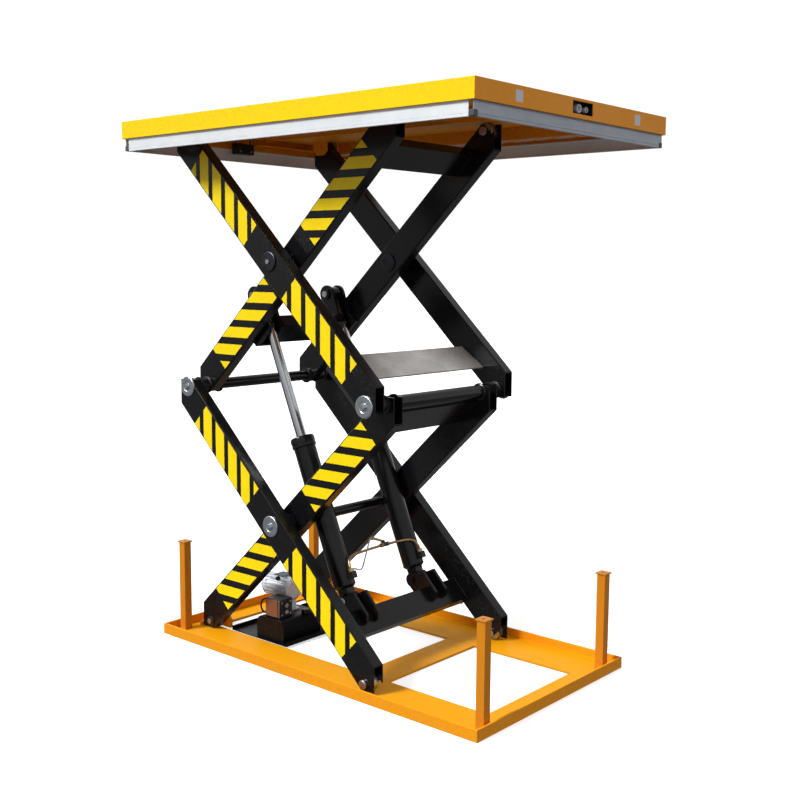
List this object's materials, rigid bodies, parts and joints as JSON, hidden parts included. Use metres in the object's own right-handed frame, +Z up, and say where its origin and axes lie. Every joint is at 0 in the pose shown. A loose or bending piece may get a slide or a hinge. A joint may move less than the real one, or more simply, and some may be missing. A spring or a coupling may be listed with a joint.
{
  "type": "scissor lift table",
  "caption": "Raised hydraulic scissor lift table: skirted platform on stacked crossed arms, angle base frame with rest posts, hydraulic cylinders and a power pack.",
  "frame": {"origin": "centre of the base frame's outline, on the floor", "axes": "+X along the table towards the end where the arms roll, +Y across the table towards the far side, +Z up"},
  "size_m": [1.7, 1.15, 2.05],
  "materials": {
    "orange_paint": "gloss",
    "yellow_paint": "gloss",
    "black_paint": "satin",
    "zinc_steel": "satin",
    "chrome": "polished",
    "aluminium": "satin",
    "copper": "satin",
    "plastic": "matte"
  },
  "bodies": {
    "base": {"base_side_near": "orange_paint", "base_side_far": "orange_paint", "base_end_right": "orange_paint", "base_end_left": "orange_paint", "base_cross_member": "orange_paint", "post_near_left": "orange_paint", "post_near_right": "orange_paint", "post_far_left": "orange_paint", "post_far_right": "orange_paint", "base_lug_near": "orange_paint", "base_lug_far": "orange_paint", "base_pin_near": "zinc_steel", "base_pin_far": "zinc_steel", "pump_tray": "black_paint", "oil_tank": "plastic", "valve_block": "copper", "pump_motor": "aluminium"},
    "lower_inner": {"lower_inner_arm_near": "black_paint", "lower_inner_arm_far": "black_paint", "lower_inner_cross_plate": "black_paint", "lower_centre_shaft": "zinc_steel", "mid_right_shaft": "zinc_steel"},
    "lower_outer": {"lower_outer_arm_near": "black_paint", "lower_outer_arm_far": "black_paint", "foot_beam": "black_paint", "mid_left_shaft": "zinc_steel", "barrel_lug_near": "black_paint", "barrel_lug_far": "black_paint"},
    "lower_roller_near": {"lower_roller_near": "zinc_steel"},
    "lower_roller_far": {"lower_roller_far": "zinc_steel"},
    "upper_outer": {"upper_outer_arm_near": "black_paint", "upper_outer_arm_far": "black_paint", "step_plate": "black_paint"},
    "upper_inner": {"upper_inner_arm_near": "black_paint", "upper_inner_arm_far": "black_paint", "top_beam": "black_paint", "rod_beam": "black_paint", "rod_lug_near": "black_paint", "rod_lug_far": "black_paint", "upper_centre_pin_near": "zinc_steel", "upper_centre_pin_far": "zinc_steel"},
    "upper_roller_near": {"upper_roller_near": "zinc_steel"},
    "upper_roller_far": {"upper_roller_far": "zinc_steel"},
    "platform": {"deck_plate": "yellow_paint", "skirt_near": "yellow_paint", "skirt_far": "yellow_paint", "skirt_right": "yellow_paint", "skirt_left": "yellow_paint", "control_panel": "plastic", "deck_lug_near": "orange_paint", "deck_lug_far": "orange_paint"},
    "trip_frame": {"trip_bar_near": "aluminium", "trip_bar_far": "aluminium", "trip_bar_right": "aluminium", "trip_bar_left": "aluminium"},
    "cylinder_barrels": {"cylinder_barrel_near": "black_paint", "cylinder_barrel_far": "black_paint", "cross_pipe": "copper"},
    "cylinder_rods": {"cylinder_rod_near": "chrome", "cylinder_rod_far": "chrome"}
  },
  "joints": [
    {"name": "lift_fold", "type": "hinge", "parent": "base", "child": "lower_inner", "pos_m": [-0.687, 0, 0.042], "axis": [0, 1, 0], "range_deg": [0, 39.24]},
    {"name": "lower_scissor_pivot", "type": "hinge", "parent": "lower_inner", "child": "lower_outer", "pos_m": [-0.2105, 0, 0.5345], "axis": [0, 1, 0], "range_deg": [-78.48, 0]},
    {"name": "mid_right_pivot", "type": "hinge", "parent": "lower_inner", "child": "upper_outer", "pos_m": [0.266, 0, 1.027], "axis": [0, 1, 0], "range_deg": [-78.48, 0]},
    {"name": "upper_scissor_pivot", "type": "hinge", "parent": "upper_outer", "child": "upper_inner", "pos_m": [-0.2105, 0, 1.5195], "axis": [0, 1, 0], "range_deg": [0, 78.48]},
    {"name": "platform_pivot", "type": "hinge", "parent": "upper_outer", "child": "platform", "pos_m": [-0.687, 0, 2.012], "axis": [0, 1, 0], "range_deg": [0, 39.24]},
    {"name": "trip_frame_lift", "type": "slide", "parent": "platform", "child": "trip_frame", "axis": [0, 0, 1], "range_m": [0, 0.008]},
    {"name": "cylinder_swing", "type": "hinge", "parent": "lower_outer", "child": "cylinder_barrels", "pos_m": [0.0042, 0, 0.24788], "axis": [0, 1, 0], "range_deg": [-1.73, 0]},
    {"name": "cylinder_stroke", "type": "slide", "parent": "cylinder_barrels", "child": "cylinder_rods", "axis": [-0.3891, 0, 0.9212], "range_m": [-0.5272, 0]},
    {"name": "lower_roller_near_spin", "type": "hinge", "parent": "lower_outer", "child": "lower_roller_near", "pos_m": [0.266, -0.377, 0.042], "axis": [0, 1, 0], "continuous": true},
    {"name": "lower_roller_far_spin", "type": "hinge", "parent": "lower_outer", "child": "lower_roller_far", "pos_m": [0.266, 0.377, 0.042], "axis": [0, 1, 0], "continuous": true},
    {"name": "upper_roller_near_spin", "type": "hinge", "parent": "upper_inner", "child": "upper_roller_near", "pos_m": [0.266, -0.279, 2.012], "axis": [0, 1, 0], "continuous": true},
    {"name": "upper_roller_far_spin", "type": "hinge", "parent": "upper_inner", "child": "upper_roller_far", "pos_m": [0.266, 0.279, 2.012], "axis": [0, 1, 0], "continuous": true}
  ],
  "couplings": [
    {"joint": "lower_scissor_pivot", "follows": "lift_fold", "ratio": -2},
    {"joint": "mid_right_pivot", "follows": "lift_fold", "ratio": -2},
    {"joint": "upper_scissor_pivot", "follows": "lift_fold", "ratio": 2},
    {"joint": "platform_pivot", "follows": "lift_fold", "ratio": 1},
    {"joint": "cylinder_swing", "follows": "lift_fold", "ratio": -0.04405},
    {"joint": "cylinder_stroke", "follows": "lift_fold", "m_per_rad": -0.7695}
  ]
}
